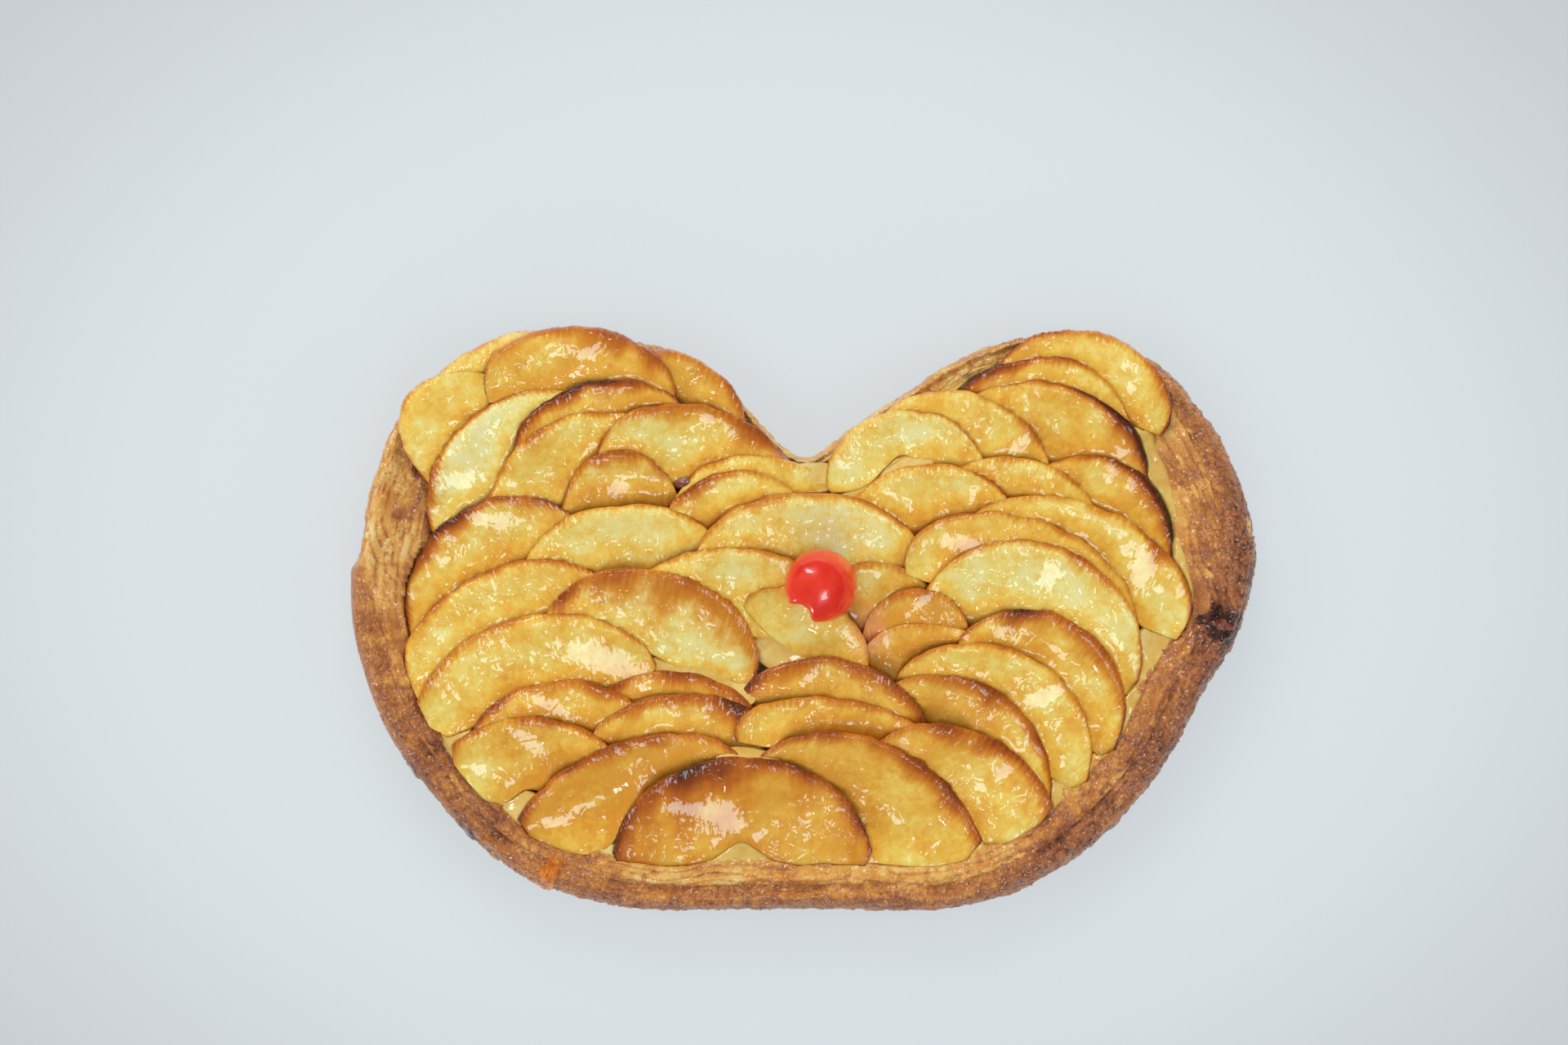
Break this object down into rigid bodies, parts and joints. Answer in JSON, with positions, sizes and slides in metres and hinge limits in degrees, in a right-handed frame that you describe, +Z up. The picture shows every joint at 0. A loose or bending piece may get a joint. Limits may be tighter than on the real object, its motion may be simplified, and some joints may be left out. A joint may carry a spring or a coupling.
{
  "type": "heart-shaped apple tart",
  "caption": "Two-lobed, heart-shaped French apple tart: browned pastry case, custard, overlapping glazed apple slices and a glacé cherry half.",
  "frame": {"origin": "centre of the bounding box on the underside, on the surface that the tart stands on", "axes": "+Z up, +X across both lobes (the long way), +Y towards the notch between the lobes"},
  "size_m": [0.2502, 0.1622, 0.0269],
  "materials": {
    "crust": "baked puff pastry, brown with darker caramelised patches",
    "custard": "set custard under glaze",
    "baked_apple": "golden baked apple under clear glaze, browned along the peel",
    "glace_cherry": "glossy red, half clear"
  },
  "bodies": {
    "root": {"apple_front_01": "baked_apple", "apple_front_02": "baked_apple", "apple_front_03": "baked_apple", "apple_left_lobe_01": "baked_apple", "apple_left_lobe_02": "baked_apple", "apple_left_lobe_03": "baked_apple", "apple_left_lobe_04": "baked_apple", "apple_left_lobe_05": "baked_apple", "apple_left_lobe_06": "baked_apple", "apple_left_lobe_07": "baked_apple", "apple_left_lobe_08": "baked_apple", "apple_left_lobe_09": "baked_apple", "apple_left_lobe_10": "baked_apple", "apple_left_lobe_11": "baked_apple", "apple_lower_01": "baked_apple", "apple_lower_02": "baked_apple", "apple_lower_03": "baked_apple", "apple_lower_04": "baked_apple", "apple_lower_05": "baked_apple", "apple_lower_06": "baked_apple", "apple_lower_07": "baked_apple", "apple_lower_08": "baked_apple", "apple_middle_01": "baked_apple", "apple_middle_02": "baked_apple", "apple_middle_03": "baked_apple", "apple_middle_04": "baked_apple", "apple_middle_05": "baked_apple", "apple_middle_06": "baked_apple", "apple_middle_07": "baked_apple", "apple_middle_08": "baked_apple", "apple_right_lobe_01": "baked_apple", "apple_right_lobe_02": "baked_apple", "apple_right_lobe_03": "baked_apple", "apple_right_lobe_04": "baked_apple", "apple_right_lobe_05": "baked_apple", "apple_right_lobe_06": "baked_apple", "apple_right_lobe_07": "baked_apple", "apple_right_lobe_08": "baked_apple", "apple_right_side_01": "baked_apple", "apple_right_side_02": "baked_apple", "apple_right_side_03": "baked_apple", "apple_right_side_04": "baked_apple", "apple_right_side_05": "baked_apple", "apple_right_side_06": "baked_apple", "apple_right_side_07": "baked_apple", "apple_right_side_08": "baked_apple", "cherry": "glace_cherry", "custard": "custard", "pastry_case": "crust"}
  },
  "joints": []
}
